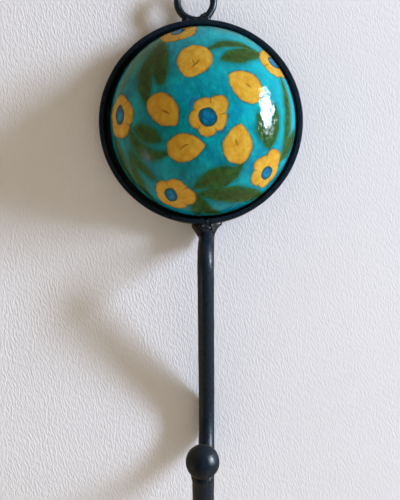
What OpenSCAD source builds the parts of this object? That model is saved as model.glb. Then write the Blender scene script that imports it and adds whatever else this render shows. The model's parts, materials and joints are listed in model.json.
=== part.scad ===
// Decorative wall hook: a painted, glazed ceramic dome set in a rolled iron ring,
// with a bent wire eyelet to hang it by and a bent bar hook with a ball tip.
// Millimetres. +X is right, -Y is out from the wall and +Z is up.
// The origin is on the wall, straight behind the middle of the ring.

/* [Ring] */
// Outside diameter of the ring
ring_od = 64.3; // [55:0.1:75]
// Thickness of the strip that is rolled into the ring
strip_t = 1.5; // [1:0.1:2]
// Width of the strip, which is how far the ring stands from the wall
strip_w = 6; // [5.5:0.5:9]
// Gap that the weld closes where the two ends of the strip meet
seam_gap = 1.2; // [0.5:0.1:2]
// Thickness of the sheet disc that closes the back of the ring
plate_t = 1.2; // [0.8:0.1:1.5]
// Number of tack welds that hold the disc in the ring
tack_count = 6; // [3:1:8]

/* [Ceramic dome] */
// Diameter of the dome at its foot
dome_d = 59; // [50:0.5:59.5]
// Height of the dome above its foot
dome_h = 24; // [18:0.5:28]
// Thickness of the ceramic wall
dome_wall = 4; // [3:0.5:6]
// Radius of the rounded foot of the dome
foot_r = 1.2; // [0.8:0.1:1.8]
// How far the dome sits to the right of the ring's middle
dome_x = 0.6; // [0:0.1:0.8]
// Thickness of the bedding under the foot
bed_t = 0.8; // [0.5:0.1:1.5]

/* [Eyelet] */
// Diameter of the eyelet's wire
wire_d = 2.2; // [1.8:0.1:3]
// Outside diameter of the eyelet
eyelet_od = 13.7; // [12:0.1:18]
// How far the eyelet sits to the left of the ring's middle
eyelet_left = 1.74; // [0:0.01:4]
// How deep the wire is sunk into the ring's rim by the weld
eyelet_sink = 0.7; // [0.3:0.1:1]
// Distance from the wall to the middle of the wire
eyelet_out = 4.3; // [3:0.1:4.8]

/* [Hook bar] */
// Diameter of the round bar
bar_d = 5; // [4:0.1:6]
// How far the bar sits to the right of the ring's middle
bar_x = 1.87; // [0:0.01:4]
// Turn of the hook to the left, seen from above
bar_turn = 1.8; // [0:0.1:5]
// Distance from the wall to the middle of the bar at its top end
bar_start_out = 2.6; // [2.6:0.1:4]
// Distance from the wall to the middle of the bar where it bows out most
bow_out = 15.2; // [13:0.1:18]
// Depth of the bow's centre below the ring's middle
bow_drop = 44.7; // [43:0.1:50]
// Radius of the bar's middle line round the bow
bow_r = 6; // [5:0.5:8]
// Steepness of the top run: 90 stands straight out from the wall
top_heading = 70; // [60:1:80]
// Depth of the hook's centre below the ring's middle, where the bar touches the wall
hook_drop = 93.3; // [85:0.1:105]
// Radius of the bar's middle line round the hook
hook_r = 22.5; // [18:0.5:26]
// How far the front arm leans out from upright
tip_lean = 22; // [10:1:35]
// Distance from the end of the hook's curve to the middle of the ball
tip_run = 12.2; // [7:0.1:16]
// Diameter of the ball on the tip
ball_d = 8; // [7:0.1:11]

/* [Hidden] */
$fn = 48;

iron = "#1d2027";
weld_iron = "#2b2e36";
plaster = "#cfc8b8";
turquoise = "#0f8fa0";

ring_r = ring_od / 2;
ring_inner_r = ring_r - strip_t;
seam_angle = asin(bar_x / ring_r) - 90;
seam_half = asin(seam_gap / 2 / ring_r);
// Leg of a tack weld's fillet, and half the angle that one tack covers
tack_leg = 0.7;
tack_half = 5;
// The space that the cuts clear for the ring reaches this far out, with this many sides.
room_h = 2 * strip_w;
room_sides = 360;

dome_r = dome_d / 2;
dome_out = plate_t + bed_t;
// The dome's outline is a quarter of an oval, drawn as this many short cones.
arch_steps = 24;
// The foot's rounded edge is drawn in this many.
foot_steps = 4;
// Gap between the filling and the ceramic, and how far the bedding stops inside the foot's edge
bed_gap = 0.05;
bed_edge = 1.2;

// Bar and wire swell a hair where they are bent, so that each straight enters its bend squarely.
bend_swell = 0.03;

wire_r = wire_d / 2;
eyelet_r = (eyelet_od - wire_d) / 2;
eyelet_z = ring_r - eyelet_sink + eyelet_od / 2;
// The leg leans this far from upright, and the loop stops this far short of its lowest point.
leg_lean = 33;
loop_end = 3;
// How far the straight leg reaches into the loop
leg_entry = 0.15;
// Thickness of the fillet at the leg's foot, from front to back
eyelet_weld_t = 2.8;

bar_r = bar_d / 2;
// How far a straight run of the bar reaches into a bend
bar_entry = 0.3;
// Where the fillet at the bar's top end begins, from the wall, and its depth
stem_weld_out = 1.2;
stem_weld_w = 4.6;
bow_centre_out = bow_out - bow_r;
hook_centre_out = bar_r + hook_r;
// The straight between the bow and the hook is the inner tangent of their two circles.
bend_out = hook_centre_out - bow_centre_out;
bend_drop = hook_drop - bow_drop;
bend_span = norm([bend_out, bend_drop]);
stem_lean = asin((bow_r + hook_r) / bend_span) - atan2(bend_out, bend_drop);
stem_run = sqrt(pow(bend_span, 2) - pow(bow_r + hook_r, 2));
top_run = (bow_centre_out + bow_r * cos(top_heading) - bar_start_out) / sin(top_heading);
bar_start_drop = bow_drop - bow_r * sin(top_heading) - top_run * cos(top_heading);
ball_r = ball_d / 2;
// The ball has a flat as wide as the bar, which stands on the bar's end.
ball_flat = sqrt(ball_r * ball_r - bar_r * bar_r);
// Radius of the weld bead round the arm, and how far its middle lies below the ball's flat
bead_r = 0.7;
bead_low = 0.1;

// Local X is right, local Y is up and local Z is the distance from the wall.
module from_wall() {
    rotate([90, 0, 0]) children();
}

// The bar's path is followed as a chain of frames: local Z runs along the bar.
module past_run(length) {
    translate([0, 0, length]) children();
}

// Local X points at the centre of the bend.
module past_bend(radius, turn) {
    translate([radius, 0, 0]) rotate([0, turn, 0]) translate([-radius, 0, 0]) children();
}

// A run reaches a little way into the bends at its ends, which are named by 1 or 0.
module bar_run(length, bend_before = 0, bend_after = 0) {
    translate([0, 0, -bend_before * bar_entry])
        cylinder(r = bar_r, h = length + (bend_before + bend_after) * bar_entry);
}

module bar_bend(radius, turn) {
    translate([radius, 0, 0])
        rotate([90, 0, 180])
            rotate_extrude(angle = turn) translate([radius, 0]) circle(r = bar_r + bend_swell);
}

// The bar's top end, with local Z along the first run and local X towards the bow's centre
module at_bar_top() {
    translate([bar_x, 0, -bar_start_drop])
        rotate([0, 0, -bar_turn])
            translate([0, -bar_start_out, 0])
                rotate([180, 0, 90]) rotate([0, -top_heading, 0]) children();
}

module at_bow() {
    at_bar_top() past_run(top_run) children();
}

module at_stem() {
    at_bow() past_bend(bow_r, top_heading + stem_lean) children();
}

// The hook curves the other way from the bow, so local X turns round.
module at_hook() {
    at_stem() past_run(stem_run) rotate([0, 0, 180]) children();
}

module at_arm() {
    at_hook() past_bend(hook_r, stem_lean + 180 - tip_lean) children();
}

module at_ball() {
    at_arm() past_run(tip_run) children();
}

// Points along a quarter of an oval, from its right-hand end up to its top
function quarter_oval(half_w, rise, lift) =
    [for (i = [0 : arch_steps]) let (a = 90 * i / arch_steps) [half_w * cos(a), lift + rise * sin(a)]];

// Points round the foot's outer edge, from underneath to the side
foot_edge = [for (i = [0 : foot_steps]) let (a = 90 * i / foot_steps)
    [dome_r - foot_r + foot_r * sin(a), foot_r - foot_r * cos(a)]];

function reversed(points) = [for (i = [len(points) - 1 : -1 : 0]) points[i]];

module ceramic_dome() {
    outside = quarter_oval(dome_r, dome_h - foot_r, foot_r);
    inside = quarter_oval(dome_r - dome_wall, dome_h - dome_wall, 0);
    color(turquoise)
        from_wall() translate([dome_x, 0, dome_out])
            rotate_extrude() polygon(concat(foot_edge, outside, reversed(inside)));
}

module setting_bed() {
    core_w = dome_r - dome_wall - bed_gap;
    core_h = dome_h - dome_wall - bed_gap;
    color(plaster)
        from_wall() translate([dome_x, 0, 0]) {
            translate([0, 0, plate_t]) cylinder(r = dome_r - bed_edge, h = bed_t);
            translate([0, 0, dome_out])
                rotate_extrude() polygon(concat([[0, 0]], quarter_oval(core_w, core_h, 0)));
        }
}

module ring_band() {
    color(iron)
        from_wall() rotate([0, 0, seam_angle + seam_half])
            rotate_extrude(angle = 360 - 2 * seam_half)
                translate([ring_inner_r, 0]) square([strip_t, strip_w]);
}

module ring_seam_weld() {
    color(weld_iron)
        from_wall() rotate([0, 0, seam_angle - seam_half])
            rotate_extrude(angle = 2 * seam_half)
                translate([ring_inner_r, 0]) square([strip_t, strip_w]);
}

module back_plate() {
    color(iron)
        from_wall() cylinder(r = ring_inner_r, h = plate_t);
}

module plate_tacks() {
    color(weld_iron)
        from_wall() for (i = [0 : tack_count - 1])
            rotate([0, 0, (i + 0.5) * 360 / tack_count - tack_half])
                rotate_extrude(angle = 2 * tack_half)
                    translate([ring_inner_r, plate_t])
                        polygon([[0, 0], [0, tack_leg], [-tack_leg, 0]]);
}

// The wire is bent round from the rim on the left, over the top, to a straight leg on the right.
module eyelet_arc() {
    rotate([0, 0, -leg_lean])
        rotate_extrude(angle = 270 + leg_lean - loop_end)
            translate([eyelet_r, 0]) circle(r = wire_r + bend_swell);
}

// Local frame at the wire's middle, where the arc ends and the leg starts
module eyelet_leg() {
    rotate([0, 0, -leg_lean]) translate([eyelet_r, leg_entry, 0])
        rotate([90, 0, 0]) cylinder(r = wire_r, h = eyelet_od / 2);
}

module at_eyelet() {
    from_wall() translate([-eyelet_left, eyelet_z, eyelet_out]) children();
}

// Everything inside the ring's outside face
module ring_room() {
    from_wall() cylinder(r = ring_r, h = room_h, $fn = room_sides);
}

module hanging_eyelet() {
    color(iron) difference() {
        at_eyelet() {
            eyelet_arc();
            eyelet_leg();
        }
        ring_room();
    }
}

// A fillet round the foot of the leg: its outline is right of the eyelet's middle and above the rim.
module eyelet_weld() {
    outline = [[0, -0.5], [5.4, -0.9], [5, 0.3], [4.6, 1.4], [3.4, 2.7], [2.4, 2.2], [1.4, 1.4], [0, 1.2]];
    color(weld_iron) difference() {
        from_wall() translate([-eyelet_left, ring_r, eyelet_out - eyelet_weld_t / 2])
            linear_extrude(eyelet_weld_t) polygon(outline);
        ring_room();
        at_eyelet() eyelet_leg();
    }
}

module hook_bar() {
    color(iron) {
        at_bar_top() bar_run(top_run, bend_after = 1);
        at_bow() bar_bend(bow_r, top_heading + stem_lean);
        at_stem() bar_run(stem_run, bend_before = 1, bend_after = 1);
        at_hook() bar_bend(hook_r, stem_lean + 180 - tip_lean);
        at_arm() bar_run(tip_run - ball_flat, bend_before = 1);
    }
}

// A fillet that hangs from the ring's underside and grips the bar's top end:
// its outline is right of the bar's middle and above the ring's lowest point.
module stem_weld() {
    outline = [[-4.6, 1], [4.9, 1], [4.9, 0], [3.2, -2],
               [2.6, -3.6], [-2.7, -4.4], [-3.8, -2.8], [-4.6, -0.3]];
    color(weld_iron) difference() {
        from_wall() translate([bar_x, -ring_r, stem_weld_out])
            linear_extrude(stem_weld_w) polygon(outline);
        ring_room();
        at_bar_top() bar_run(top_run);
    }
}

module ball_tip() {
    color(iron)
        at_ball() intersection() {
            sphere(r = ball_r);
            translate([-ball_r, -ball_r, -ball_flat]) cube([ball_d, ball_d, ball_flat + ball_r]);
        }
}

module ball_weld() {
    color(weld_iron)
        at_ball() difference() {
            translate([0, 0, -ball_flat - bead_low])
                rotate_extrude() translate([bar_r, 0]) circle(r = bead_r);
            sphere(r = ball_r);
            translate([0, 0, -tip_run]) bar_run(tip_run);
        }
}

ceramic_dome();
setting_bed();
ring_band();
ring_seam_weld();
back_plate();
plate_tacks();
hanging_eyelet();
eyelet_weld();
hook_bar();
stem_weld();
ball_tip();
ball_weld();
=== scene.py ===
# %% [markdown]
# # A wall hook: wrought iron round a painted ceramic dome
# The hook is a rolled iron ring with a glazed dome set in it, a wire eyelet above
# it for a nail, and a bent bar with a ball on its tip below it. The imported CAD
# model is the fixed frame: every piece takes its place and size from there.

# %% Load the frame
import functools
import json
import math

import bpy
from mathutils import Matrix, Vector

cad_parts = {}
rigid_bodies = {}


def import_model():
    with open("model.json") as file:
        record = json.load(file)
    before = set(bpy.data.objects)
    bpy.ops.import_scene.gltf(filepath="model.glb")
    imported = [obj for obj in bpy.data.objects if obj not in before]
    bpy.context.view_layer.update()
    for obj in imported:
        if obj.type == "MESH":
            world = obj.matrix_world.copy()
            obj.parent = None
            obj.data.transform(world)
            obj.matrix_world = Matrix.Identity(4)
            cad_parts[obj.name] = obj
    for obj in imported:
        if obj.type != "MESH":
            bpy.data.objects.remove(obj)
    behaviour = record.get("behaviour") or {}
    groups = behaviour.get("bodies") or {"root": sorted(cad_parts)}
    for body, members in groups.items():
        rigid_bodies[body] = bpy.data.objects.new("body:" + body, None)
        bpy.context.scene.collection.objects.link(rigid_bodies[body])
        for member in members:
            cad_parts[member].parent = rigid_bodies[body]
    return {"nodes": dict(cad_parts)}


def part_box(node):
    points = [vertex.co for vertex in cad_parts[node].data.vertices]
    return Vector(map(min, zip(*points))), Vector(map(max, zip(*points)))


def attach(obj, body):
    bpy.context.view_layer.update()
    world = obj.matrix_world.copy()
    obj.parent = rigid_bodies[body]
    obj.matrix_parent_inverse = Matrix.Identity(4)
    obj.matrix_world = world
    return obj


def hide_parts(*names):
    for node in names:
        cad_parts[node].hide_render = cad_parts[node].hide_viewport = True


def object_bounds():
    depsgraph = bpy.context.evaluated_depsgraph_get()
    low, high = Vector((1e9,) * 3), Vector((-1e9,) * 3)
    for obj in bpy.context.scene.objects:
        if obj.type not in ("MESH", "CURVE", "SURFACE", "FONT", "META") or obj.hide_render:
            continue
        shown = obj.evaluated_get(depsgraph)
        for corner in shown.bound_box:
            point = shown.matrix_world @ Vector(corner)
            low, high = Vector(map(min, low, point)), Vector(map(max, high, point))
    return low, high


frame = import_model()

MM = 0.001
cad_low, cad_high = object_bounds()
print("CAD box in mm:", [round(v / MM, 1) for v in cad_low], [round(v / MM, 1) for v in cad_high])

# %% [markdown]
# ## A bench for shader nodes
# A material is a chain of small sums. Wiring each one by hand hides what it does,
# so this bench adds a node, feeds its sockets and gives back its result. A formula
# then reads from left to right. Colours are written as a paint chart writes them.


# %% Bench
def paint(chart):
    """A colour for a socket, from its six-figure code on a screen's paint chart."""
    shares = [int(chart[i:i + 2], 16) / 255 for i in (0, 2, 4)]
    return tuple(s / 12.92 if s <= 0.04045 else ((s + 0.055) / 1.055) ** 2.4 for s in shares) + (1,)


class Bench:
    """Adds shader nodes to one tree and wires them."""

    def __init__(self, tree):
        self.tree = tree

    def feed(self, socket, value):
        if isinstance(value, bpy.types.NodeSocket):
            self.tree.links.new(value, socket)
        else:
            socket.default_value = value

    def add(self, kind, feeds=None, **settings):
        made = self.tree.nodes.new(kind)
        for name, value in settings.items():
            setattr(made, name, value)
        for name, value in (feeds or {}).items():
            self.feed(made.inputs[name], value)
        return made

    def maths(self, operation, *values, clamp=False):
        made = self.add("ShaderNodeMath", operation=operation, use_clamp=clamp)
        for socket, value in zip(made.inputs, values):
            self.feed(socket, value)
        return made.outputs[0]

    def vector(self, operation, *values):
        made = self.add("ShaderNodeVectorMath", operation=operation)
        for socket, value in zip(made.inputs, values):
            self.feed(socket, value)
        return made.outputs["Value" if operation == "LENGTH" else "Vector"]

    def ramp(self, value, low, high, at_low=0.0, at_high=1.0):
        """Eases from at_low to at_high while value goes from low to high."""
        feeds = {"Value": value, "From Min": low, "From Max": high, "To Min": at_low, "To Max": at_high}
        return self.add("ShaderNodeMapRange", feeds, interpolation_type="SMOOTHSTEP").outputs[0]

    def mix(self, share, under, over):
        made = self.add("ShaderNodeMix", data_type="RGBA")
        self.feed(made.inputs[0], share)
        self.feed(made.inputs[6], under)
        self.feed(made.inputs[7], over)
        return made.outputs[2]

    def noise(self, place, scale, detail=3.0, roughness=0.5):
        feeds = {"Vector": place, "Scale": scale, "Detail": detail, "Roughness": roughness}
        return self.add("ShaderNodeTexNoise", feeds)

    def object_place(self):
        return self.add("ShaderNodeTexCoord").outputs["Object"]

    def stretch(self, place, size):
        return self.add("ShaderNodeMapping", {"Vector": place, "Scale": size}).outputs[0]

    def split(self, place):
        """The X, Y and Z of a place."""
        return self.add("ShaderNodeSeparateXYZ", {0: place}).outputs

    def turn_back(self, place, angle):
        """Turns a place clockwise about Z, which undoes a turn by angle."""
        feeds = {"Vector": place, "Angle": self.maths("MULTIPLY", angle, -1)}
        return self.add("ShaderNodeVectorRotate", feeds, rotation_type="Z_AXIS").outputs[0]

    def bump(self, shader, height, strength, depth):
        """Turns a height into the shader's normal. The depth is in metres."""
        feeds = {"Height": height, "Strength": strength, "Distance": depth}
        self.feed(shader.inputs["Normal"], self.add("ShaderNodeBump", feeds).outputs[0])

    def place_group(self, group, feeds):
        made = self.tree.nodes.new("ShaderNodeGroup")
        made.node_tree = group
        for name, value in feeds.items():
            self.feed(made.inputs[name], value)
        return made.outputs


SOCKETS = {"value": "NodeSocketFloat", "place": "NodeSocketVector", "colour": "NodeSocketColor"}


def new_group(name, inputs, outputs):
    """An empty node group with its sockets: its bench, its inputs and its output node."""
    group = bpy.data.node_groups.new(name, "ShaderNodeTree")
    for title, kind in inputs.items():
        group.interface.new_socket(title, in_out="INPUT", socket_type=SOCKETS[kind])
    for title, kind in outputs.items():
        group.interface.new_socket(title, in_out="OUTPUT", socket_type=SOCKETS[kind])
    bench = Bench(group)
    return group, bench, bench.add("NodeGroupInput").outputs, bench.add("NodeGroupOutput").inputs


def new_material(name):
    """A material with an empty bench, its Principled BSDF and where it ends."""
    material = bpy.data.materials.new(name)
    material.use_nodes = True
    material.node_tree.nodes.clear()
    bench = Bench(material.node_tree)
    shader = bench.add("ShaderNodeBsdfPrincipled")
    end = bench.add("ShaderNodeOutputMaterial")
    material.node_tree.links.new(shader.outputs[0], end.inputs[0])
    return material, bench, shader, end


# %% [markdown]
# ## The room
# The hook hangs on a pale wall and is seen from close by and a little below its
# dome, square to the wall. Daylight comes from a window on the right with two
# panes. Each is an area light, whose size softens the shadow as a window does. The
# upper one makes the long shadow and the bright part of the highlight; the dim lower
# one draws the highlight further down. A tiny light low on the left leaves a faint
# point on the glaze, and one straight behind the wall shows the hook's back.
#
# The rest of the room is warm and dim, and darkest behind the viewer. Mirrored rays
# see it dimmer still, so that the black iron stays black at its edges.

# %% Camera
SENSOR = 36.0
FOCAL = 41.04
CAMERA_AT = Vector((-0.3, -185, -40.4)) * MM

bpy.ops.object.camera_add(location=CAMERA_AT, rotation=(math.radians(90), 0, 0))
camera = bpy.context.object
camera.data.sensor_width = SENSOR
camera.data.lens = FOCAL
camera.data.clip_start = 0.01
bpy.context.scene.camera = camera
bpy.context.scene.view_settings.view_transform = "Standard"
print("camera at", [round(v, 4) for v in camera.location])


# %% Daylight
def add_window(name, place, facing, wide, tall, power, tint):
    """A rectangle of light that stands at place and faces the point facing."""
    turn = (Vector(facing) - Vector(place)).to_track_quat("-Z", "Z").to_euler()
    bpy.ops.object.light_add(type="AREA", location=place, rotation=turn)
    window = bpy.context.object
    window.name = name
    window.data.shape = "RECTANGLE"
    window.data.size, window.data.size_y = wide, tall
    window.data.energy = power
    window.data.color = tint
    return window


WINDOW_X = 1.2
RING_MIDDLE = (0, 0, 0)
DAYLIGHT = (0.72, 0.83, 1.0)
REAR_LIGHT = (0.95, 0.97, 1.0)
ROOM_LIGHT = (1.0, 0.80, 0.54, 1)
ROOM_BEHIND_VIEWER, ROOM_ELSEWHERE = 0.05, 0.70
LOST_IN_MIRROR = 0.65
# In metres and watts: name, how far out from the wall, how high, how wide, how tall, power
PANES = [("upper_pane", 0.42, 0.35, 0.54, 0.17, 31.5), ("lower_pane", 0.36, 0.0, 0.26, 0.14, 2.6)]
for name, out, height, wide, tall, power in PANES:
    add_window(name, (WINDOW_X, -out, height), (0, -out, height), wide, tall, power, DAYLIGHT)
add_window("glint", (-0.66, -0.175, -0.37), RING_MIDDLE, 0.01, 0.03, 0.14, DAYLIGHT)
rear_fill = add_window("rear_fill", (0, 1.6, 0), RING_MIDDLE, 0.4, 0.4, 24, REAR_LIGHT)
rear_fill.visible_glossy = False

world = bpy.data.worlds.new("soft_room_light")
bpy.context.scene.world = world
world.use_nodes = True
room = Bench(world.node_tree)
into_wall = room.split(room.add("ShaderNodeTexCoord").outputs["Generated"])["Y"]
brightness = room.ramp(into_wall, -0.95, -0.3, ROOM_BEHIND_VIEWER, ROOM_ELSEWHERE)
mirrored = room.add("ShaderNodeLightPath").outputs["Is Glossy Ray"]
left_in_mirror = room.maths("MULTIPLY_ADD", mirrored, -LOST_IN_MIRROR, 1.0)
room_light = world.node_tree.nodes["Background"]
room_light.inputs["Color"].default_value = ROOM_LIGHT
room.feed(room_light.inputs["Strength"], room.maths("MULTIPLY", brightness, left_in_mirror))

# %% [markdown]
# ## Wall and floor
# The wall is a pale embossed lining paper: short raised strokes, mostly upright and
# a little slanted. One noise makes them, turned and then stretched. It is used as
# bump only, because the wall is backdrop and not part of the hook.
#
# Wall and floor are seen from the front only: from behind they let the view and the
# light through, so that the hook's back can be looked at too. They are also left
# out of mirrored rays, because so near and so pale they would fog the glaze.

# %% Wall and floor
WALL_GAP = 0.2 * MM
FLOOR_AT = cad_low.z - 0.35
BACKDROP = 3.0
STROKE_SLANT = math.radians(-14)
STROKE_STRETCH = (1, 0.34, 1)


def seen_from_front_only(bench, shader, end):
    """Lets everything through that meets the face from behind."""
    behind = bench.add("ShaderNodeNewGeometry").outputs["Backfacing"]
    clear = bench.add("ShaderNodeBsdfTransparent").outputs[0]
    choice = bench.add("ShaderNodeMixShader", {0: behind, 1: shader.outputs[0], 2: clear})
    bench.tree.links.new(choice.outputs[0], end.inputs[0])


def wall_paper():
    material, bench, shader, end = new_material("pale_embossed_wall")
    place = bench.object_place()
    feeds = {"Vector": place, "Rotation": (0, 0, STROKE_SLANT)}
    slanted = bench.add("ShaderNodeMapping", feeds).outputs[0]
    strokes = bench.noise(bench.stretch(slanted, STROKE_STRETCH), 1800, 1, 0.4).outputs[0]
    raised = bench.ramp(strokes, 0.3, 0.7)

    # The strokes are pressed less deep towards the window
    pressed = bench.ramp(bench.split(place)["X"], -0.04, 0.05, 0.95, 0.42)
    bench.bump(shader, bench.maths("MULTIPLY", raised, pressed), 0.5, 0.14 * MM)
    cloud = bench.noise(place, 9, 2).outputs[0]
    bench.feed(shader.inputs["Base Color"], bench.mix(cloud, paint("e5e6ec"), paint("edeef4")))
    shader.inputs["Roughness"].default_value = 0.75
    seen_from_front_only(bench, shader, end)
    return material


def floor_paint():
    material, bench, shader, end = new_material("pale_floor")
    cloud = bench.noise(bench.object_place(), 4, 3).outputs[0]
    bench.feed(shader.inputs["Base Color"], bench.mix(cloud, paint("e3d3ba"), paint("eadcc6")))
    shader.inputs["Roughness"].default_value = 0.6
    seen_from_front_only(bench, shader, end)
    return material


bpy.ops.mesh.primitive_plane_add(size=BACKDROP, location=(0, WALL_GAP, 0),
                                 rotation=(math.radians(90), 0, 0))
wall = bpy.context.object
wall.name = "wall"
wall.data.materials.append(wall_paper())
wall.visible_glossy = False
bpy.ops.mesh.primitive_plane_add(size=BACKDROP, location=(0, -BACKDROP / 2, FLOOR_AT))
floor = bpy.context.object
floor.name = "floor"
floor.data.materials.append(floor_paint())
floor.visible_glossy = False
print("wall", WALL_GAP / MM, "mm behind the hook, floor", round(FLOOR_AT, 3), "m")

# %% [markdown]
# ## Working on a piece
# Every new piece is made in the same way: nothing else is selected, a primitive is
# added at its place, faces or points are picked by where they are, and the end
# result is settled, so that its object stands at the origin and its place is in
# its mesh, as it is for the CAD nodes.


# %% Helpers for a piece
def clear_bench():
    if bpy.context.mode != "OBJECT":
        bpy.ops.object.mode_set(mode="OBJECT")
    bpy.ops.object.select_all(action="DESELECT")


def take(piece, *others):
    """Selects the piece, with any others, and makes it the active one."""
    clear_bench()
    for each in (piece, *others):
        each.select_set(True)
    bpy.context.view_layer.objects.active = piece


def start_piece(name, primitive, scale=(1, 1, 1), **size):
    """A new piece from a primitive, with its turn and scale already in its mesh."""
    clear_bench()
    primitive(**size)
    piece = bpy.context.object
    piece.name = piece.data.name = name
    piece.scale = scale
    bpy.ops.object.transform_apply(location=True, rotation=True, scale=True)
    return piece


def pick(piece, kind, test):
    """Picks the points or the faces that pass the test, and ends in edit mode."""
    bpy.ops.object.mode_set(mode="EDIT")
    bpy.ops.mesh.select_mode(type=kind)
    bpy.ops.mesh.select_all(action="DESELECT")
    bpy.ops.object.mode_set(mode="OBJECT")
    for part in piece.data.vertices if kind == "VERT" else piece.data.polygons:
        part.select = test(part)
    bpy.ops.object.mode_set(mode="EDIT")


def use_modifier(piece, kind, **settings):
    modifier = piece.modifiers.new(kind.lower(), kind)
    for name, value in settings.items():
        setattr(modifier, name, value)
    bpy.ops.object.modifier_apply(modifier=modifier.name)


def hand_unevenness(piece, name, cell, swing):
    """Moves the surface in and out by about half of swing, in lumps as wide as cell."""
    lumps = bpy.data.textures.new(name, "CLOUDS")
    lumps.noise_scale = cell
    lumps.noise_depth = 2
    use_modifier(piece, "DISPLACE", texture=lumps, texture_coords="GLOBAL", strength=swing,
                 mid_level=0.5)


def hand_over(piece, slot, *nodes):
    """Puts the finished piece in the place of its CAD nodes."""
    clear_bench()
    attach(piece, "root")
    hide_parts(*nodes)
    low = [min(v.co[i] for v in piece.data.vertices) for i in range(3)]
    high = [max(v.co[i] for v in piece.data.vertices) for i in range(3)]
    print(piece.name, len(piece.data.polygons), "faces, box in mm",
          [round(v / MM, 2) for v in low], [round(v / MM, 2) for v in high])


# %% [markdown]
# ## The dome's shape
# The dome is clay pressed into a mould: half an egg shape, a little oval, about
# 4 mm thick, with a foot that was rounded with a wet finger. Half a sphere is
# squashed to the dome's rise. Solidify gives it its wall, and Bevel rounds its foot.

# %% Dome
dome_low, dome_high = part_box("ceramic_dome")
DOME_WALL = 4.0 * MM
FOOT_EDGE = 1.2 * MM
FOOT_BEVEL = 0.9 * MM
SAME_PLACE = 0.01 * MM
# The dome is this share narrower than round, and taller.
OVAL = 0.006
dome_mid = (dome_low + dome_high) / 2
dome_half = (dome_high.x - dome_low.x) / 2
dome_widest = dome_high.y - FOOT_EDGE
dome_rise = dome_widest - dome_low.y
dome_heart = Vector((dome_mid.x, dome_widest, dome_mid.z))

dome = start_piece("painted_dome", bpy.ops.mesh.primitive_uv_sphere_add, segments=160, ring_count=96,
                   radius=1, location=dome_heart, rotation=(math.radians(90), 0, 0),
                   scale=(dome_half * (1 - OVAL), dome_half * (1 + OVAL), dome_rise))
bpy.ops.object.mode_set(mode="EDIT")
bpy.ops.mesh.select_all(action="SELECT")
bpy.ops.mesh.bisect(plane_co=dome_heart, plane_no=(0, 1, 0), clear_outer=True)
pick(dome, "VERT", lambda point: point.co.y > dome_widest - SAME_PLACE)
bpy.ops.mesh.extrude_edges_move(TRANSFORM_OT_translate={"value": (0, FOOT_EDGE, 0)})
bpy.ops.mesh.select_all(action="SELECT")
bpy.ops.mesh.normals_make_consistent(inside=False)
take(dome)
hand_unevenness(dome, "pressed_clay", 14 * MM, 0.35 * MM)
use_modifier(dome, "SOLIDIFY", thickness=DOME_WALL, offset=-1, use_even_offset=True)
use_modifier(dome, "BEVEL", width=FOOT_BEVEL, segments=4, limit_method="ANGLE",
             angle_limit=math.radians(50))
bpy.ops.object.shade_smooth()

# %% [markdown]
# The painter's hand follows the dome's surface, so the paint needs its own flat
# map: each point's distance from the top, measured along the surface in
# millimetres, in the direction in which it lies. Motifs near the rim then keep
# their true size. The quarter of the oval is measured by walking along it.

# %% Paint map
ARC_STEPS = 400


def walk_quarter_oval(half, rise):
    """The distance walked from the top of the oval to each step down its side."""
    walked = [0.0]
    for i in range(ARC_STEPS):
        middle = (i + 0.5) / ARC_STEPS * math.pi / 2
        pace = math.hypot(half * math.cos(middle), rise * math.sin(middle))
        walked.append(walked[-1] + pace * math.pi / 2 / ARC_STEPS)
    return walked


dome_walk = walk_quarter_oval(dome_half / MM, dome_rise / MM)


def paint_place(at):
    """Where a point of the dome lies on the paint map, in millimetres."""
    across = Vector((at.x - dome_heart.x, at.z - dome_heart.z)) / dome_half
    slope = math.atan2(across.length, max(dome_heart.y - at.y, 0) / dome_rise)
    down = slope / (math.pi / 2) * ARC_STEPS
    step = min(int(down), ARC_STEPS - 1)
    walked = dome_walk[step] + (dome_walk[step + 1] - dome_walk[step]) * (down - step)
    return across.normalized() * (walked + max(at.y - dome_heart.y, 0) / MM)


paint_map = dome.data.uv_layers.new(name="paint")
places = [paint_place(point.co) for point in dome.data.vertices]
for corner in dome.data.loops:
    paint_map.data[corner.index].uv = places[corner.vertex_index]
dome.data.uv_layers.active = paint_map
print("from the dome's top to its widest line:", round(dome_walk[-1], 1), "mm along the surface")

# %% [markdown]
# ## One brush stroke
# Leaves, stems and buds are all single strokes of a loaded brush: they swell and
# narrow again, and may bend. This group gives how far inside a stroke each point
# lies, in millimetres, and so it can be used for its filling, its edge and its
# outline alike.


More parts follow.
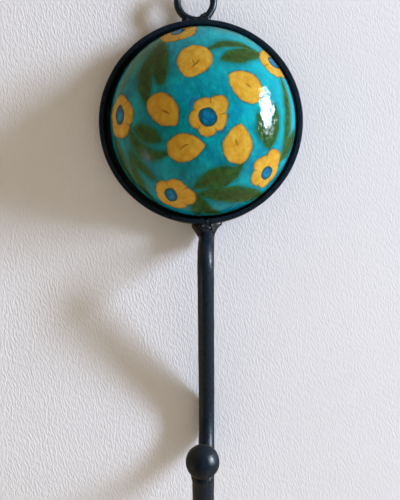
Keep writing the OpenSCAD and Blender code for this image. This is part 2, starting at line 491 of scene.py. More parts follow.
# %% Stroke group
def build_stroke_group():
    group, bench, given, result = new_group(
        "brush stroke",
        {"Surface": "place", "Middle": "place", "Turn": "value", "Length": "value", "Width": "value",
         "Bow": "value", "Belly": "value", "Start": "value", "End": "value"},
        {"Inside": "value"})
    offset = bench.vector("SUBTRACT", given["Surface"], given["Middle"])
    local = bench.split(bench.turn_back(offset, given["Turn"]))
    along = bench.maths("ADD", bench.maths("DIVIDE", local[0], given["Length"]), 0.5, clamp=True)
    centred = bench.maths("SUBTRACT", bench.maths("MULTIPLY", along, 2.0), 1.0)
    arch = bench.maths("SUBTRACT", 1.0, bench.maths("MULTIPLY", centred, centred))
    across = bench.maths("SUBTRACT", local[1], bench.maths("MULTIPLY", arch, given["Bow"]))
    phase = bench.maths("MULTIPLY", bench.maths("POWER", along, given["Belly"]), math.pi)
    swell = bench.maths("MAXIMUM", bench.maths("SINE", phase), 0.0)
    spread = bench.maths("SUBTRACT", given["End"], given["Start"])
    sharpness = bench.maths("MULTIPLY_ADD", along, spread, given["Start"])
    half_width = bench.maths("MULTIPLY", given["Width"], 0.5)
    half_length = bench.maths("MULTIPLY", given["Length"], 0.5)
    half = bench.maths("MULTIPLY", bench.maths("POWER", swell, sharpness), half_width)
    inside = bench.maths("SUBTRACT", half, bench.maths("ABSOLUTE", across))
    before_end = bench.maths("SUBTRACT", half_length, bench.maths("ABSOLUTE", local[0]))
    bench.feed(result["Inside"], bench.maths("MINIMUM", inside, before_end))
    return group


stroke_group = build_stroke_group()

# %% [markdown]
# ## One flower
# A flower is a ring of petals round an eye. The petals are waves in how far its
# edge lies from its middle: the cosine of the angle, made blunt by a power. One
# petal may reach further than the others, as a quick hand leaves it. The seams are
# the thin lines between petals.


# %% Flower group
def build_flower_group():
    group, bench, given, result = new_group(
        "petal flower",
        {"Surface": "place", "Middle": "place", "Turn": "value", "Size": "place", "Petals": "value",
         "Notch": "value", "Reach": "value", "Eye": "place", "Eye size": "place"},
        {"Inside": "value", "In eye": "value", "Seam": "value"})

    def own_place(middle, size):
        """The surface as an oval of this middle and size sees it, and how far out it lies."""
        offset = bench.vector("SUBTRACT", given["Surface"], middle)
        shape = bench.vector("DIVIDE", bench.turn_back(offset, given["Turn"]), size)
        return shape, bench.vector("LENGTH", bench.vector("MULTIPLY", shape, (1, 1, 0)))

    shape, far = own_place(given["Middle"], given["Size"])
    parts = bench.split(shape)
    angle = bench.maths("ARCTAN2", parts[1], parts[0])
    half_turns = bench.maths("MULTIPLY", angle, bench.maths("MULTIPLY", given["Petals"], 0.5))
    wave = bench.maths("ABSOLUTE", bench.maths("COSINE", half_turns))
    dent = bench.maths("SUBTRACT", bench.maths("POWER", wave, 0.45), 1.0)
    lobes = bench.maths("MULTIPLY_ADD", given["Notch"], dent, 1.0)
    first = bench.maths("POWER", bench.maths("MAXIMUM", bench.maths("COSINE", angle), 0.0), 5.0)
    edge = bench.maths("ADD", lobes, bench.maths("MULTIPLY", first, given["Reach"]))
    inside = bench.maths("SUBTRACT", edge, far)
    bench.feed(result["Inside"], bench.maths("MULTIPLY", inside, bench.split(given["Size"])[0]))

    _, eye_far = own_place(given["Eye"], given["Eye size"])
    in_eye = bench.maths("SUBTRACT", 1.0, eye_far)
    bench.feed(result["In eye"], bench.maths("MULTIPLY", in_eye, bench.split(given["Eye size"])[0]))

    seam = bench.maths("MULTIPLY", bench.ramp(wave, 0.0, 0.17, 1.0, 0.0), bench.ramp(far, 0.5, 0.75))
    bench.feed(result["Seam"], seam)
    return group


flower_group = build_flower_group()

# %% [markdown]
# ## The painting
# The motifs are listed as the painter would place them: where each stroke starts
# and ends, how wide its belly is and how far it bows to its left, all in
# millimetres on the paint map, with the dome's top as zero. They are painted in
# order: ground, washes, leaves, yellow petals and buds, then eyes and fine marks.

# %% Motifs
# start, end, width, bow and, where it isn't sharp, how pointed the end is
LEAVES = [
    ((-13.9, 24.0), (-11.9, 6.4), 5.8, -0.5, 0.4), ((-15.6, 19.8), (-15.4, -1.0), 4.9, -2.3),
    ((0.6, 17.4), (18.5, 20.0), 2.9, 2.5), ((5.2, 14.4), (19.4, 19.9), 5.6, 0.0, 0.6),
    ((16.3, -1.2), (21.8, -12.5), 3.6, -0.8), ((22.6, 2.0), (21.2, -12.5), 3.2, 1.0),
    ((20.0, -3.0), (21.4, -12.5), 3.0, 0.0), ((35.0, -4.5), (27.0, -16.0), 5.4, 0.6),
    ((12.4, -15.6), (1.0, -25.0), 3.8, 1.2), ((9.2, -17.6), (-3.4, -24.6), 5.8, -0.2),
    ((-1.6, -26.4), (26.5, -31.5), 6.8, 1.6), ((-1.8, -25.6), (8.5, -38.5), 5.0, -2.8),
    ((-4.2, -28.0), (-1.0, -39.0), 3.2, 0.0), ((-21.8, -5.2), (-12.2, -9.8), 4.9, 0.2, 0.6),
    ((-23.4, -5.4), (-9.0, -13.2), 3.9, -4.2, 0.5), ((-24.2, -12.2), (-14.6, -22.4), 3.3, -0.6),
    ((-24.6, -12.8), (-18.5, -33.5), 3.9, -1.6), ((-31.5, -6.0), (-25.5, -27.0), 4.6, -1.2),
    ((26.8, 13.0), (27.5, -16.5), 2.9, 1.6),
]
WASHES = [
    ((-29.5, 4.0), (-14.5, 28.0), 6.5, 2.5), ((-21.5, 9.0), (-13.5, 26.5), 5.0, 1.2),
    ((-2.0, 30.2), (20.0, 23.2), 3.4, 3.3), ((26.6, 14.0), (27.4, -15.5), 5.2, 2.6),
    ((-25.0, -11.5), (-20.5, -33.0), 6.8, -0.8), ((-24.0, -4.0), (-14.0, -16.0), 8.0, -1.5),
]
# round end, tip, width, bow, how pointed the tip is
BUDS = [
    ((-1.5, 19.3), (-4.3, 8.3), 10.3, 0.3, 0.55), ((17.7, 3.4), (7.4, 9.8), 9.1, 0.2, 0.75),
    ((-15.6, 3.2), (-7.5, -5.4), 8.3, 0.3, 0.7), ((-10.4, -12.5), (0.4, -10.9), 8.1, 0.0, 0.7),
    ((9.7, -16.3), (11.0, -4.8), 9.2, 0.0, 0.7),
]
TICKS = [
    ((-3.4, 11.4), (-1.0, 14.4), 0.8, 0.0), ((-2.5, 12.6), (-3.4, 14.4), 0.6, 0.0),
    ((11.9, 7.0), (14.4, 5.4), 0.6, 0.3), ((-12.0, -0.6), (-9.4, -2.2), 0.8, 0.2),
    ((-7.0, -12.6), (-3.8, -10.8), 0.7, 0.3), ((9.3, -9.0), (10.2, -11.4), 0.7, 0.2),
]
BLUE_TOUCHES = [((-3.7, -1.0), (-1.4, 2.5), 1.0, 0.8), ((6.4, -5.6), (3.6, -8.2), 0.7, 0.5)]
# middle, size, turn of the first petal in degrees, number of petals, how deep the notches
# between them are, how much further the first one reaches, eye's middle, eye's size
FLOWERS = [
    ((1.4, -3.1), (5.5, 5.5), 47, 5, 0.22, 0.32, (1.3, -3.3), (2.4, 2.5)),
    ((-28.2, -0.9), (6.2, 7.4), 8, 5, 0.13, 0.05, (-28.0, -0.2), (2.2, 2.9)),
    ((-10.4, -27.4), (6.6, 6.4), -4, 5, 0.20, 0.26, (-10.9, -27.2), (2.3, 2.8)),
    ((21.4, -19.5), (6.1, 6.2), 62, 5, 0.16, 0.36, (22.0, -19.8), (2.4, 2.4)),
    ((25.8, 19.4), (8.2, 6.4), 37, 5, 0.10, 0.00, (26.2, 20.0), (4.4, 2.6)),
    ((-8.6, 28.6), (6.5, 7.0), 100, 5, 0.12, 0.00, (-8.9, 29.6), (3.2, 2.3)),
]
print(len(LEAVES) + len(WASHES), "leaf strokes,", len(BUDS), "buds,", len(FLOWERS), "flowers")


# %% Painting
PAINTS = {name: paint(chart) for name, chart in {
    "turquoise": "0a98a4", "pooled turquoise": "056e7c", "clear streak": "0ab0b6",
    "dark streak": "045a62", "cobalt": "0b6a98", "painted light turquoise": "12b0ba",
    "green wash": "3f6238", "leaf shade": "0d5a45", "deep leaf": "1a4020", "leaf": "34602a",
    "leaf heart": "343c1c", "ochre": "bb8520", "yellow": "cda840", "burnt ochre": "a86205",
    "outline": "22503c", "seam": "7a4a0c", "tick": "7d4d10", "blue touch": "2b3f96",
    "eye line": "17464a", "eye": "0a5a8a", "pale eye": "1583ac", "eye rim": "0c4f5c",
    "speck": "0a3038"}.items()}


def outermost(bench, fields):
    """The deepest of several distances inside a motif."""
    return functools.reduce(lambda whole, field: bench.maths("MAXIMUM", whole, field), fields)


def stroke_fields(bench, surface, strokes, belly, start, end):
    for first, last, width, bow, *tip in strokes:
        line = Vector(last) - Vector(first)
        middle = (Vector(last) + Vector(first)) / 2
        yield bench.place_group(stroke_group, {
            "Surface": surface, "Middle": (middle.x, middle.y, 0), "Turn": math.atan2(line.y, line.x),
            "Length": line.length, "Width": width, "Bow": bow,
            "Belly": belly, "Start": start, "End": tip[0] if tip else end})["Inside"]


def painted_glaze():
    material, bench, shader, _ = new_material("painted_glaze")
    flat = bench.add("ShaderNodeUVMap", uv_map="paint").outputs[0]
    slow = bench.vector("SUBTRACT", bench.noise(flat, 0.24, 1).outputs["Color"], (0.5, 0.5, 0.5))
    quick = bench.vector("SUBTRACT", bench.noise(flat, 1.6, 2).outputs["Color"], (0.5, 0.5, 0.5))
    drift = bench.vector("ADD", bench.vector("MULTIPLY", slow, (1.3, 1.3, 0)),
                         bench.vector("MULTIPLY", quick, (0.25, 0.25, 0)))
    surface = bench.vector("ADD", flat, drift)

    def coat(share, under, name):
        """One colour of the chart laid over what is there already."""
        return bench.mix(share, under, PAINTS[name])

    # Ground: a watery turquoise that pools in patches, with streaks of the brush and
    # a little cobalt in it. It is painted lighter towards the upper right, where the
    # window's light falls: painted light.
    patches = bench.noise(flat, 0.11, 4, 0.6).outputs[0]
    ground = coat(bench.ramp(patches, 0.36, 0.66), PAINTS["pooled turquoise"], "turquoise")
    streaks = bench.noise(bench.stretch(surface, (0.9, 0.35, 1)), 0.8, 4, 0.65).outputs[0]
    ground = coat(bench.ramp(streaks, 0.42, 0.75, 0.0, 0.45), ground, "clear streak")
    ground = coat(bench.ramp(streaks, 0.42, 0.25, 0.0, 0.35), ground, "dark streak")
    cobalt = bench.noise(flat, 0.15, 4, 0.6).outputs[0]
    ground = coat(bench.ramp(cobalt, 0.47, 0.66, 0.0, 0.5), ground, "cobalt")
    # Painted light: a lighter turquoise towards the upper right, on the side the window lights
    spot = bench.split(flat)
    upper_right = bench.maths("ADD", spot[0], spot[1])
    ground = coat(bench.ramp(upper_right, -8.0, 42.0, 0.0, 0.45), ground, "painted light turquoise")

    # Washes and leaves, each leaf with a soft shade round it and a darker heart
    wash = outermost(bench, stroke_fields(bench, surface, WASHES, 1.0, 0.6, 0.8))
    ground = coat(bench.ramp(wash, -0.6, 1.4, 0.0, 0.6), ground, "green wash")
    leaf = outermost(bench, stroke_fields(bench, surface, LEAVES, 0.9, 0.7, 0.95))
    blot = bench.noise(flat, 0.55, 4, 0.6).outputs[0]
    ground = coat(bench.ramp(leaf, -2.2, 0.3, 0.0, 0.6), ground, "leaf shade")
    leaf_green = coat(bench.ramp(blot, 0.25, 0.75), PAINTS["deep leaf"], "leaf")
    leaf_green = coat(bench.ramp(leaf, 0.6, 2.2, 0.0, 0.55), leaf_green, "leaf heart")
    dabbed = bench.ramp(bench.maths("ADD", leaf, bench.ramp(blot, 0.3, 0.7, -0.2, 0.2)), -0.45, 0.55)
    colour = bench.mix(dabbed, ground, leaf_green)

    # Buds and petals, darker at their edge and with a broken outline
    flowers = [bench.place_group(flower_group, {
        "Surface": surface, "Middle": (*middle, 0), "Turn": math.radians(turn), "Size": (*size, 1),
        "Petals": petals, "Notch": notch, "Reach": reach, "Eye": (*eye, 0), "Eye size": (*eye_size, 1),
    }) for middle, size, turn, petals, notch, reach, eye, eye_size in FLOWERS]
    buds = outermost(bench, stroke_fields(bench, surface, BUDS, 0.86, 0.42, 0.8))
    yellow = bench.maths("MAXIMUM", buds, outermost(bench, [f["Inside"] for f in flowers]))
    pool = bench.noise(flat, 0.42, 4, 0.6).outputs[0]
    petal = coat(bench.ramp(pool, 0.22, 0.78), PAINTS["ochre"], "yellow")
    petal = coat(bench.ramp(yellow, 1.2, 0.0, 0.0, 0.5), petal, "burnt ochre")
    colour = bench.mix(bench.ramp(yellow, -0.25, 0.3), colour, petal)
    off_edge = bench.maths("ABSOLUTE", bench.maths("ADD", yellow, 0.12))
    line = bench.maths("MULTIPLY", bench.ramp(off_edge, 0.05, 0.6, 1.0, 0.0),
                       bench.ramp(blot, 0.35, 0.6, 0.2, 0.65))
    colour = coat(line, colour, "outline")

    # Eyes, seams and ticks
    seams = outermost(bench, [
        bench.maths("MULTIPLY", f["Seam"], bench.ramp(f["Inside"], 0.0, 0.4)) for f in flowers])
    colour = coat(bench.maths("MULTIPLY", seams, 0.6), colour, "seam")
    tick = outermost(bench, stroke_fields(bench, surface, TICKS, 1.0, 0.5, 0.7))
    colour = coat(bench.ramp(tick, -0.1, 0.25, 0.0, 0.75), colour, "tick")
    touch = outermost(bench, stroke_fields(bench, surface, BLUE_TOUCHES, 1.0, 0.5, 0.7))
    colour = coat(bench.ramp(touch, -0.2, 0.4, 0.0, 0.7), colour, "blue touch")
    eye = outermost(bench, [f["In eye"] for f in flowers])
    colour = coat(bench.ramp(eye, -0.45, 0.0), colour, "eye line")
    eye_blue = coat(bench.ramp(pool, 0.4, 0.6), PAINTS["eye"], "pale eye")
    eye_blue = coat(bench.ramp(eye, 0.5, 1.4, 0.7, 0.0), eye_blue, "eye rim")
    colour = bench.mix(bench.ramp(eye, 0.0, 0.5), colour, eye_blue)

    # Glaze: specks from the kiln, slow waves and a fine orange peel
    speck = bench.ramp(bench.noise(flat, 3.4, 2).outputs[0], 0.70, 0.76, 0.0, 0.55)
    bench.feed(shader.inputs["Base Color"], coat(speck, colour, "speck"))
    waves = bench.noise(flat, 0.5, 2).outputs[0]
    orange_peel = bench.noise(flat, 2.6, 2).outputs[0]
    bench.bump(shader, bench.maths("MULTIPLY_ADD", orange_peel, 0.22, waves), 0.32, 0.5 * MM)
    bench.feed(shader.inputs["Roughness"], bench.ramp(patches, 0.3, 0.7, 0.02, 0.05))
    shader.inputs["IOR"].default_value = 1.46
    return material


dome.data.materials.append(painted_glaze())
hand_over(dome, "painted_glazed_ceramic", "ceramic_dome")

# %% [markdown]
# ## Iron, welds and plaster
# The iron is brushed with a thin black enamel over rolled steel. It is never quite
# flat: there is a fine grain from the mill scale, a slow waviness from the hammer,
# and a paler patch where handling has thinned the paint. One group serves all four
# finishes, each with its own values: the smooth ring, bar and wire, the dull sheet
# behind the dome, the ball and its collar that a file has gone over, and the welds.


# %% Iron group
def build_iron_group():
    group, bench, given, result = new_group(
        "black enamel on iron",
        {"Surface": "place", "Paint": "colour", "Thin": "colour", "Wear": "value", "Dull": "value",
         "Grain": "value"},
        {"Colour": "colour", "Roughness": "value", "Height": "value"})
    brushed = bench.noise(bench.stretch(given["Surface"], (1, 1, 0.35)), 900, 4, 0.6).outputs[0]
    scale = bench.noise(given["Surface"], 2600, 3, 0.6).outputs[0]
    hammer = bench.noise(given["Surface"], 260, 3).outputs[0]
    worn = bench.ramp(bench.maths("MULTIPLY_ADD", given["Wear"], 0.5, hammer), 0.62, 0.86)
    bench.feed(result["Colour"], bench.mix(worn, given["Paint"], given["Thin"]))
    rough = bench.ramp(brushed, 0.3, 0.7, 0.26, 0.38)
    dull = bench.maths("ADD", rough, given["Dull"])
    bench.feed(result["Roughness"], bench.maths("MULTIPLY_ADD", worn, 0.12, dull))
    fine = bench.maths("ADD", bench.ramp(scale, 0.36, 0.5), brushed)
    bench.feed(result["Height"], bench.maths("MULTIPLY_ADD", fine, given["Grain"], hammer))
    return group


iron_group = build_iron_group()


def iron_finish(name, enamel, thin, wear, dull, grain, depth):
    """wear is how much paint has thinned, dull adds to the roughness and grain to the relief."""
    material, bench, shader, _ = new_material(name)
    skin = bench.place_group(iron_group, {
        "Surface": bench.object_place(), "Paint": paint(enamel), "Thin": paint(thin),
        "Wear": wear, "Dull": dull, "Grain": grain})
    bench.feed(shader.inputs["Base Color"], skin["Colour"])
    bench.feed(shader.inputs["Roughness"], skin["Roughness"])
    bench.bump(shader, skin["Height"], 0.6, depth)
    shader.inputs["Specular IOR Level"].default_value = 0.45
    return material


black_iron = iron_finish("enamelled_iron", "111f2c", "22272c", 0.10, 0.0, 0.35, 0.10 * MM)
sheet_iron = iron_finish("dull_sheet", "1b1f24", "3b342f", 0.45, 0.2, 0.6, 0.15 * MM)
filed_iron = iron_finish("filed_iron", "0f1b27", "262b30", 0.20, 0.06, 0.2, 0.05 * MM)
weld_metal = iron_finish("enamelled_weld", "0f1822", "272423", 0.25, -0.04, 0.8, 0.20 * MM)


# %% [markdown]
# ## The rolled ring
# A smith rolls the ring from flat strip, on edge, until its two ends nearly meet.
# The strip's section is a small rectangle with its corners rubbed off. It stands
# beside the seam and is spun round the ring's middle to the other side of the seam.

# %% Ring
ring_low, ring_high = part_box("ring_band")
seam_low, seam_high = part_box("ring_seam_weld")
plate_low, plate_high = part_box("back_plate")
RUBBED_CORNER = 0.22 * MM
MERGE_WITHIN = 0.005 * MM
ring_radius = (ring_high.x - ring_low.x) / 2
strip_thick = ring_radius - (plate_high.x - plate_low.x) / 2
strip_wide = ring_high.y - ring_low.y
seam_mid = (seam_low + seam_high) / 2
seam_angle = math.atan2(seam_mid.z, seam_mid.x)
seam_half = (seam_high.x - seam_low.x) / 2 / ring_radius


def spin_selected(steps, angle, centre, axis):
    """Spins what is picked right-handed about the axis: the operator itself turns the other way."""
    bpy.ops.mesh.spin(steps=steps, angle=-angle, center=centre, axis=axis)


def close_skin(piece):
    """Merges the points that lie on each other and turns every face outwards."""
    bpy.ops.mesh.select_all(action="SELECT")
    bpy.ops.mesh.remove_doubles(threshold=MERGE_WITHIN)
    bpy.ops.mesh.normals_make_consistent(inside=False)
    take(piece)


section_at = seam_angle + seam_half
section_mid = Vector((math.cos(section_at), 0, math.sin(section_at))) * (ring_radius - strip_thick / 2)
section_mid.y = (ring_low.y + ring_high.y) / 2
ring = start_piece("rolled_ring", bpy.ops.mesh.primitive_plane_add, size=1, location=section_mid,
                   rotation=(0, -section_at, 0), scale=(strip_thick, strip_wide, 1))
bpy.ops.object.mode_set(mode="EDIT")
bpy.ops.mesh.select_all(action="SELECT")
bpy.ops.mesh.bevel(offset=RUBBED_CORNER, segments=3, affect="VERTICES")
spin_selected(200, 2 * (math.pi - seam_half), (0, 0, 0), (0, -1, 0))
close_skin(ring)
hand_unevenness(ring, "rolled_strip", 7 * MM, 0.14 * MM)
bpy.ops.object.shade_smooth_by_angle(angle=math.radians(40))
ring.data.materials.append(black_iron)
hand_over(ring, "black_iron", "ring_band")

# %% [markdown]
# ## The bent bar
# The bar starts under the ring, stands out from the wall, bows down, leans back to
# the wall and curls forward into the hook. That is a walk of straights and bends:
# a disc as wide as the bar is extruded along each straight in short lengths and
# spun round the centre of each bend, so the skin follows the metal all the way.

# %% Bar
# Places are right of the ring's middle, out from the wall and down from the ring's middle.
BAR_X = 1.87 * MM
BAR_TURN = math.radians(1.8)
BAR_START_OUT = 2.6 * MM
BOW_OUT, BOW_DROP, BOW_RADIUS = 15.2 * MM, 44.7 * MM, 6 * MM
HOOK_RADIUS, HOOK_DROP = 22.5 * MM, 93.3 * MM
TOP_HEADING = math.radians(70)
TIP_LEAN = math.radians(22)
TIP_RUN = 12.2 * MM
BAR_RADIUS = 2.5 * MM
RUN_STEP = 1.5 * MM
BEND_STEP = math.radians(4)

bar_low, bar_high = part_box("hook_bar")
ball_low, ball_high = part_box("ball_tip")
ball_radius = (ball_high.x - ball_low.x) / 2
outward = Vector((-math.sin(BAR_TURN), -math.cos(BAR_TURN), 0))
upward = Vector((0, 0, 1))
bend_axis = upward.cross(outward)


def beside_wall(out, drop):
    """A point in the bar's own upright plane: so far from the wall, so far below the ring's middle."""
    return Vector((BAR_X, 0, -drop)) + outward * out


def bar_heading(angle):
    """The direction at angle, from straight out at 0 to straight down at a quarter turn."""
    return outward * math.cos(angle) - upward * math.sin(angle)


def run(direction, length):
    """Draws the rod out straight, in short steps."""
    steps = max(1, round(length / RUN_STEP))
    for _ in range(steps):
        bpy.ops.mesh.extrude_region_move(TRANSFORM_OT_translate={"value": direction * (length / steps)})


def bend(centre, axis, angle):
    """Draws the rod out round a centre."""
    spin_selected(max(2, round(angle / BEND_STEP)), angle, centre, axis)


def start_rod(name, at, direction, radius, sides):
    """A disc of the rod's section, open in edit mode and ready to be drawn out."""
    turn = direction.to_track_quat("Z", "Y").to_euler()
    rod = start_piece(name, bpy.ops.mesh.primitive_circle_add, vertices=sides, radius=radius,
                      fill_type="NGON", location=at, rotation=turn)
    bpy.ops.object.mode_set(mode="EDIT")
    bpy.ops.mesh.select_all(action="SELECT")
    return rod


bow_centre_out = BOW_OUT - BOW_RADIUS
bow_centre = beside_wall(bow_centre_out, BOW_DROP)
hook_centre_out = BAR_RADIUS + HOOK_RADIUS
hook_centre = beside_wall(hook_centre_out, HOOK_DROP)
bend_out, bend_drop = hook_centre_out - bow_centre_out, HOOK_DROP - BOW_DROP
bend_span = math.hypot(bend_out, bend_drop)
stem_lean = math.asin((BOW_RADIUS + HOOK_RADIUS) / bend_span) - math.atan2(bend_out, bend_drop)
stem_run = math.sqrt(bend_span ** 2 - (BOW_RADIUS + HOOK_RADIUS) ** 2)
top_angle = math.pi / 2 - TOP_HEADING
bow_start_out = bow_centre_out + BOW_RADIUS * math.cos(TOP_HEADING)
bow_start_drop = BOW_DROP - BOW_RADIUS * math.sin(TOP_HEADING)
top_run = (bow_start_out - BAR_START_OUT) / math.sin(TOP_HEADING)
bar_start = beside_wall(BAR_START_OUT, bow_start_drop - top_run * math.cos(TOP_HEADING))
arm_direction = bar_heading(TIP_LEAN - math.pi / 2)
ball_flat = math.sqrt(ball_radius ** 2 - BAR_RADIUS ** 2)

bar = start_rod("bent_bar", bar_start, bar_heading(top_angle), BAR_RADIUS, 28)
run(bar_heading(top_angle), top_run)
bend(bow_centre, bend_axis, TOP_HEADING + stem_lean)
run(bar_heading(math.pi / 2 + stem_lean), stem_run)
bend(hook_centre, -bend_axis, stem_lean + math.pi - TIP_LEAN)
run(arm_direction, TIP_RUN - ball_flat)
close_skin(bar)
hand_unevenness(bar, "drawn_bar", 6 * MM, 0.16 * MM)
bpy.ops.object.shade_smooth_by_angle(angle=math.radians(50))
bar.data.materials.append(black_iron)
hand_over(bar, "black_iron", "hook_bar")
print("hook_bar's own box in mm:",
      [round(v / MM, 2) for v in bar_low], [round(v / MM, 2) for v in bar_high])

# %% [markdown]
# ## The ball
# The ball is forged from the end of a rod and filed round, so it is a little
# faceted where the file went. A quad sphere keeps its faces even: a cube is
# subdivided and cast to a sphere, and lumps are pushed into it.

# %% Ball
arm_end = hook_centre + (outward * math.cos(TIP_LEAN) - upward * math.sin(TIP_LEAN)) * HOOK_RADIUS
ball_at = arm_end + arm_direction * TIP_RUN
ball = start_piece("forged_ball", bpy.ops.mesh.primitive_cube_add, size=2 * ball_radius,
                   location=(0, 0, 0))
use_modifier(ball, "SUBSURF", subdivision_type="SIMPLE", levels=5, render_levels=5)
use_modifier(ball, "CAST", cast_type="SPHERE", factor=1, size=ball_radius, use_radius_as_size=False)
ball.location = ball_at
bpy.ops.object.transform_apply(location=True)
hand_unevenness(ball, "filed_ball", 2.6 * MM, 0.16 * MM)
bpy.ops.object.shade_smooth()
ball.data.materials.append(filed_iron)
hand_over(ball, "black_iron", "ball_tip")
print("ball_tip's own box in mm:",
      [round(v / MM, 2) for v in ball_low], [round(v / MM, 2) for v in ball_high])

# %% [markdown]
# ## The eyelet
# The eyelet is one piece of wire: a straight leg that stands on the rim on the
# right, then a loop that comes round over the top and lies along the rim on the
# left. It is drawn out as the bar was.

# %% Eyelet
LEG_LEAN = math.radians(33)
LOOP_END = math.radians(3)
LEG_RUN = 4.3 * MM
eyelet_low, eyelet_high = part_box("hanging_eyelet")
wire_radius = (eyelet_high.y - eyelet_low.y) / 2
eyelet_half = (eyelet_high.x - eyelet_low.x) / 2
eyelet_mid = (eyelet_low + eyelet_high) / 2
eyelet_mid.z = eyelet_high.z - eyelet_half
loop_radius = eyelet_half - wire_radius
leg_top = eyelet_mid + Vector((math.cos(LEG_LEAN), 0, -math.sin(LEG_LEAN))) * loop_radius
leg_up = Vector((math.sin(LEG_LEAN), 0, math.cos(LEG_LEAN)))

eyelet = start_rod("wire_eyelet", leg_top - leg_up * LEG_RUN, leg_up, wire_radius, 20)
run(leg_up, LEG_RUN)
bend(eyelet_mid, Vector((0, -1, 0)), 1.5 * math.pi + LEG_LEAN - LOOP_END)
close_skin(eyelet)
hand_unevenness(eyelet, "drawn_wire", 3.5 * MM, 0.14 * MM)
bpy.ops.object.shade_smooth_by_angle(angle=math.radians(50))
eyelet.data.materials.append(black_iron)
hand_over(eyelet, "black_iron", "hanging_eyelet")

# %% [markdown]
# ## The welds
# A weld is a row of drops that froze as the arc moved on. Each drop is a squashed
# sphere. The drops of one weld are joined, a voxel remesh melts them into one skin,
# and smoothing lets the metal flow into the corners. Lumps are pushed in last.

# %% Welds
WELD_VOXEL = 0.16 * MM


def settle_weld(weld, node, swing, finish):
    """Melts the weld into one smooth skin, pushes lumps of swing mm into it and hands it over."""
    use_modifier(weld, "REMESH", mode="VOXEL", voxel_size=WELD_VOXEL)
    use_modifier(weld, "SMOOTH", factor=0.5, iterations=14)
    hand_unevenness(weld, weld.name + "_lumps", 1.3 * MM, swing * MM)
    bpy.ops.object.shade_smooth()
    weld.data.materials.append(finish)
    hand_over(weld, "weld_metal", node)


def lay_weld(name, node, drops, swing=0.12, finish=weld_metal):
    """drops: where each one froze and its half sizes, in millimetres."""
    clear_bench()
    for at, half in drops:
        bpy.ops.mesh.primitive_uv_sphere_add(segments=24, ring_count=16, location=Vector(at) * MM,
                                             scale=Vector(half) * MM)
        bpy.context.object.name = name + "_drop"
    take(*[o for o in bpy.data.objects if o.name.startswith(name + "_drop")])
    bpy.ops.object.join()
    weld = bpy.context.object
    weld.name = weld.data.name = name
    bpy.ops.object.transform_apply(location=True, rotation=True, scale=True)
    settle_weld(weld, node, swing, finish)


# place right of the eyelet's middle and above the rim, half sizes
LEG_DROPS = [
    (2.4, 0.2, (2.6, 1.5, 0.9)), (3.6, 0.8, (1.3, 1.3, 1.3)), (1.2, 0.4, (1.7, 1.3, 1.0)),
    (-0.5, 0.4, (1.6, 1.3, 1.0)), (2.4, 1.1, (1.2, 1.2, 1.2)), (3.1, 1.8, (0.9, 1.1, 1.0)),
    (-2.6, 0.2, (1.9, 1.2, 0.8)),
]
rim_mm = ring_radius / MM
eye_mm = eyelet_mid / MM
lay_weld("leg_fillet", "eyelet_weld", [
    ((eye_mm.x + right, eye_mm.y, rim_mm + up), half) for right, up, half in LEG_DROPS])

SEAM_DROPS = 7
SEAM_HALF = (0.85, 0.62, 0.82)
seam_step = strip_wide / MM / SEAM_DROPS
seam_spot = Vector((math.cos(seam_angle), 0, math.sin(seam_angle))) * (ring_radius - strip_thick / 2) / MM
lay_weld("seam_bead", "ring_seam_weld", [
    ((seam_spot.x, seam_low.y / MM + (i + 0.5) * seam_step, seam_spot.z), SEAM_HALF)
    for i in range(SEAM_DROPS)], 0.1)

TACKS = 6
TACK_INSET = 0.25
TACK_HALF = (0.62, 0.5, 0.62)
# The drops of one tack lie these angles apart, in radians.
TACK_SLIPS = (-0.07, -0.035, 0, 0.035, 0.07)
tack_radius = (plate_high.x - plate_low.x) / 2 / MM - TACK_INSET
tack_out = plate_low.y / MM - TACK_INSET
tack_turns = [(i + 0.5) * 2 * math.pi / TACKS + slip for i in range(TACKS) for slip in TACK_SLIPS]
lay_weld("plate_beads", "plate_tacks", [
    ((tack_radius * math.cos(turn), tack_out, tack_radius * math.sin(turn)), TACK_HALF)
    for turn in tack_turns], 0.1)

# %% [markdown]
# The biggest weld hangs from the ring's underside like a skirt and grips the bar's
# top end. It is drawn down from a disc, level by level, and narrows towards the
# bar. A few beads of spatter sit on its front.

# %% Stem weld
# depth below the ring's lowest point, place right of the bar's middle, half width, half depth
SKIRT = [(-0.7, 0.1, 4.7, 2.1), (0.2, 0.0, 4.8, 2.3), (1.0, -0.5, 4.3, 2.4), (2.0, -0.5, 3.65, 2.4),
         (3.0, -0.4, 3.1, 2.3), (4.0, -0.25, 2.7, 2.1), (4.6, -0.1, 2.2, 1.7)]
SKIRT_OUT = 3.5
# place right of the bar's middle, distance from the wall, depth, radius
SPATTER = [(1.3, 5.75, 0.5, 0.42), (0.5, 5.85, 1.3, 0.38), (1.7, 5.7, 1.7, 0.45), (-1.6, 5.8, 0.8, 0.4)]


def skirt_place(right, out, depth):
    """A point so far right of the bar, out from the wall and below the ring, in millimetres."""
    return Vector((BAR_X, 0, -ring_radius)) + Vector((right, -out, -depth)) * MM


depth, right, half_wide, half_deep = SKIRT[0]
skirt = start_piece("stem_fillet", bpy.ops.mesh.primitive_circle_add, vertices=48, radius=MM,
                    fill_type="NGON", location=skirt_place(right, SKIRT_OUT, depth),
                    scale=(half_wide, half_deep, 1))
bpy.ops.object.mode_set(mode="EDIT")
bpy.ops.mesh.select_all(action="SELECT")
for (was_depth, was_right, was_wide, was_deep), (depth, right, wide, deep) in zip(SKIRT, SKIRT[1:]):
    step = Vector((right - was_right, 0, was_depth - depth)) * MM
    bpy.ops.mesh.extrude_region_move(TRANSFORM_OT_translate={"value": step})
    bpy.ops.transform.resize(value=(wide / was_wide, deep / was_deep, 1),
                             center_override=skirt_place(right, SKIRT_OUT, depth))
close_skin(skirt)
for right, out, depth, radius in SPATTER:
    bpy.ops.mesh.primitive_uv_sphere_add(segments=16, ring_count=10, radius=radius * MM,
                                         location=skirt_place(right, out, depth))
    bpy.context.object.name = "stem_bead"
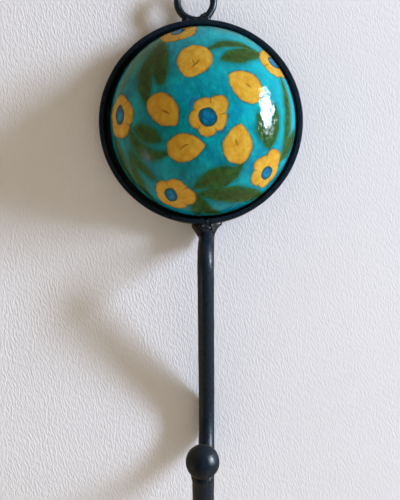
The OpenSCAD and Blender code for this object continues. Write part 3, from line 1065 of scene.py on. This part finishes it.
take(skirt, *[o for o in bpy.data.objects if o.name.startswith("stem_bead")])
bpy.ops.object.join()
settle_weld(skirt, "stem_weld", 0.2, weld_metal)

# %% [markdown]
# The weld under the ball runs right round the arm, so it starts as a ring of drops
# whose circle is square to the arm. It was filed smooth with the ball, and so the
# drops are close together and long, and the ball's own finish goes over them.

# %% Neck weld
NECK_DROPS = 20
NECK_BELOW = 0.9
NECK_RADIUS = 2.0
NECK_HALF = (0.85, 0.85, 1.5)
neck_mm = (ball_at - arm_direction * ball_flat) / MM - arm_direction * NECK_BELOW
neck_side = arm_direction.cross(Vector((1, 0, 0))).normalized()
neck_across = arm_direction.cross(neck_side)
neck_turns = [i * 2 * math.pi / NECK_DROPS for i in range(NECK_DROPS)]
lay_weld("neck_fillet", "ball_weld", [
    (neck_mm + (neck_side * math.cos(turn) + neck_across * math.sin(turn)) * NECK_RADIUS, NECK_HALF)
    for turn in neck_turns], 0.06, filed_iron)

# %% [markdown]
# ## The back plate
# The sheet disc behind the dome is cut with snips and dressed flat. It is only
# seen from behind and through the gap, but its edge is still broken, not sharp.
# Insets divide its two large faces into rings.

# %% Back plate
PLATE_INSETS = 5
PLATE_INSET = 4.5 * MM
BROKEN_EDGE = 0.25 * MM
plate = start_piece("snipped_plate", bpy.ops.mesh.primitive_cylinder_add, vertices=144,
                    radius=(plate_high.x - plate_low.x) / 2, depth=plate_high.y - plate_low.y,
                    location=(plate_low + plate_high) / 2, rotation=(math.radians(90), 0, 0))
pick(plate, "FACE", lambda face: abs(face.normal.y) > 0.9)
for _ in range(PLATE_INSETS):
    bpy.ops.mesh.inset(thickness=PLATE_INSET, use_individual=False)
take(plate)
use_modifier(plate, "BEVEL", width=BROKEN_EDGE, segments=2, limit_method="ANGLE",
             angle_limit=math.radians(60))
bpy.ops.object.shade_smooth_by_angle(angle=math.radians(40))
plate.data.materials.append(sheet_iron)
hand_over(plate, "black_iron", "back_plate")

# %% [markdown]
# ## The plaster
# The plaster that fills the dome is hidden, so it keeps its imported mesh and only
# gets a chalky finish.


# %% Plaster
def setting_plaster():
    """Chalky plaster, set rough and left unpainted."""
    material, bench, shader, _ = new_material("chalky_plaster")
    place = bench.object_place()
    cloud = bench.noise(place, 180, 4, 0.6).outputs[0]
    bench.feed(shader.inputs["Base Color"], bench.mix(cloud, paint("b9b1a0"), paint("d8d2c4")))
    bench.feed(shader.inputs["Roughness"], bench.ramp(cloud, 0.3, 0.7, 0.8, 0.95))
    bench.bump(shader, bench.noise(place, 1800, 3).outputs[0], 0.5, 0.2 * MM)
    return material


bed_finish = frame["nodes"]["setting_bed"].data.materials
bed_finish.clear()
bed_finish.append(setting_plaster())
print("setting_bed ->", bed_finish[0].name)
